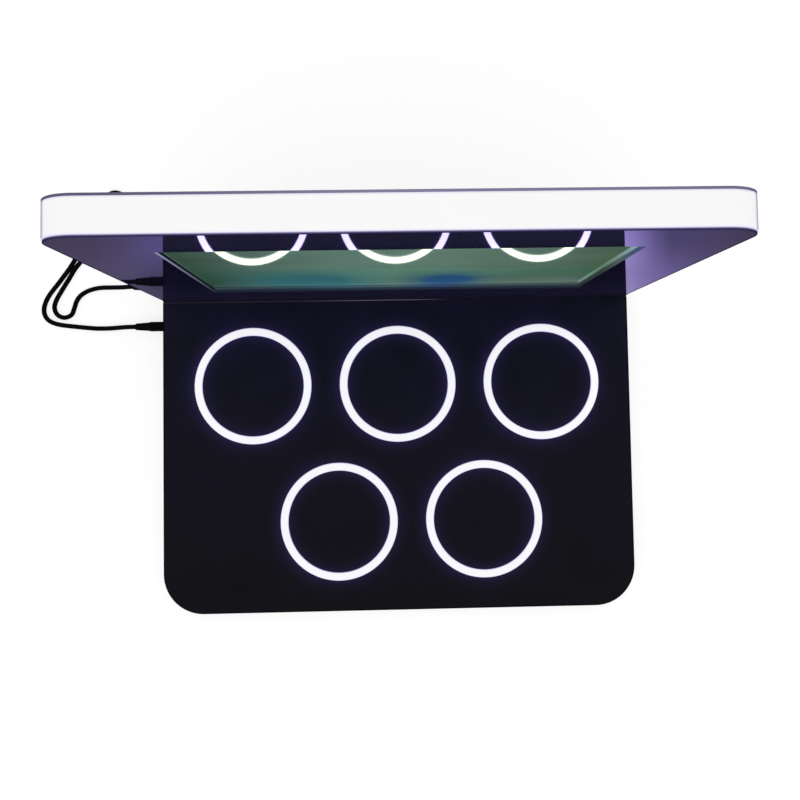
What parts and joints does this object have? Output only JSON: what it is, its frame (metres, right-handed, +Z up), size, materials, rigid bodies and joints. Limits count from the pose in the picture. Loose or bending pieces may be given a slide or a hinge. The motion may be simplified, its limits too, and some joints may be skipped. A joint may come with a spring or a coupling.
{
  "type": "dance rhythm machine",
  "caption": "Step pad with glowing rings round its press plates, bolted to an upright mirror-fronted light box with a screen, joined by a link cable.",
  "frame": {"origin": "on the floor, in the middle of the footprint of pad and upright, the link cable left out", "axes": "+Z up; +X to the player's right along the pad's width; the screen and mirror face -Y, where the player stands"},
  "size_m": [1.2705, 0.9138, 0.7442],
  "materials": {
    "tray_steel": "powder-coated black steel sheet",
    "core_board": "raw birch plywood",
    "deck_black": "fine matt black sheet",
    "bumper_rubber": "matt black rubber strip",
    "ring_milky": "milky acrylic, lit from behind",
    "plate_black": "fine matt black moulded plastic",
    "spring_rubber": "grey-black rubber",
    "circuit_board": "solder mask with white components",
    "ribbon_grey": "flat ribbon cable",
    "zinc_steel": "zinc-plated steel",
    "socket_metal": "dark nickel-plated brass",
    "foot_rubber": "matt rubber",
    "rail_black": "satin black powder coat",
    "cap_black": "moulded black plastic",
    "frame_aluminium": "mill-finish aluminium tube",
    "smoked_mirror": "purple-grey smoked mirror acrylic",
    "band_milky": "milky acrylic, lit from behind",
    "cover_dark": "satin dark purple-grey moulded sheet",
    "screw_black": "blackened steel",
    "foam_black": "black foam",
    "bezel_black": "black coated steel",
    "screen_glass": "lit display under glass",
    "diffuser_white": "white diffusing sheet",
    "backlight_steel": "zinc-coated steel",
    "speaker_black": "coated paper cone and steel basket",
    "inlet_black": "moulded black plastic",
    "rocker_red": "moulded red plastic",
    "cable_black": "black PVC"
  },
  "bodies": {
    "machine": {"base_tray": "tray_steel", "deck_core": "core_board", "deck_sheet": "deck_black", "edge_bumper": "bumper_rubber", "light_ring_1": "ring_milky", "step_springs_1": "spring_rubber", "ring_leds_1": "circuit_board", "light_ring_2": "ring_milky", "step_springs_2": "spring_rubber", "ring_leds_2": "circuit_board", "light_ring_3": "ring_milky", "step_springs_3": "spring_rubber", "ring_leds_3": "circuit_board", "light_ring_4": "ring_milky", "step_springs_4": "spring_rubber", "ring_leds_4": "circuit_board", "light_ring_5": "ring_milky", "step_springs_5": "spring_rubber", "ring_leds_5": "circuit_board", "step_sensors": "circuit_board", "pad_board": "circuit_board", "main_board": "circuit_board", "band_leds": "circuit_board", "pad_wiring": "ribbon_grey", "tray_screws": "zinc_steel", "tie_bolts": "zinc_steel", "screen_brackets": "zinc_steel", "power_supply": "zinc_steel", "pad_socket": "socket_metal", "rail_socket": "socket_metal", "pad_feet": "foot_rubber", "rail_feet": "foot_rubber", "base_rail": "rail_black", "rail_cap_left": "cap_black", "rail_cap_right": "cap_black", "frame_left": "frame_aluminium", "frame_right": "frame_aluminium", "frame_top": "frame_aluminium", "frame_cross": "frame_aluminium", "mirror_panel": "smoked_mirror", "light_band": "band_milky", "rear_cover": "cover_dark", "rear_screws": "screw_black", "screen_gasket": "foam_black", "screen_bezel": "bezel_black", "screen_glass": "screen_glass", "screen_diffuser": "diffuser_white", "screen_backlight": "backlight_steel", "speaker_left": "speaker_black", "speaker_right": "speaker_black", "mains_inlet": "inlet_black", "link_cable": "cable_black", "plug_pad": "cable_black", "plug_rail": "cable_black"},
    "step_1": {"step_plate_1": "plate_black"},
    "step_2": {"step_plate_2": "plate_black"},
    "step_3": {"step_plate_3": "plate_black"},
    "step_4": {"step_plate_4": "plate_black"},
    "step_5": {"step_plate_5": "plate_black"},
    "rocker": {"power_rocker": "rocker_red"}
  },
  "joints": [
    {"name": "step_1_press", "type": "slide", "parent": "machine", "child": "step_1", "axis": [0, 0, -1], "range_m": [0, 0.0025], "stiffness_N_per_m": 20000, "springref_m": -0.0003, "deforming": ["step_springs_1"]},
    {"name": "step_2_press", "type": "slide", "parent": "machine", "child": "step_2", "axis": [0, 0, -1], "range_m": [0, 0.0025], "stiffness_N_per_m": 20000, "springref_m": -0.0003, "deforming": ["step_springs_2"]},
    {"name": "step_3_press", "type": "slide", "parent": "machine", "child": "step_3", "axis": [0, 0, -1], "range_m": [0, 0.0025], "stiffness_N_per_m": 20000, "springref_m": -0.0003, "deforming": ["step_springs_3"]},
    {"name": "step_4_press", "type": "slide", "parent": "machine", "child": "step_4", "axis": [0, 0, -1], "range_m": [0, 0.0025], "stiffness_N_per_m": 20000, "springref_m": -0.0003, "deforming": ["step_springs_4"]},
    {"name": "step_5_press", "type": "slide", "parent": "machine", "child": "step_5", "axis": [0, 0, -1], "range_m": [0, 0.0025], "stiffness_N_per_m": 20000, "springref_m": -0.0003, "deforming": ["step_springs_5"]},
    {"name": "rocker_turn", "type": "hinge", "parent": "machine", "child": "rocker", "pos_m": [0.353, 0.354, 0.1045], "axis": [1, 0, 0], "range_deg": [0, 24]}
  ]
}
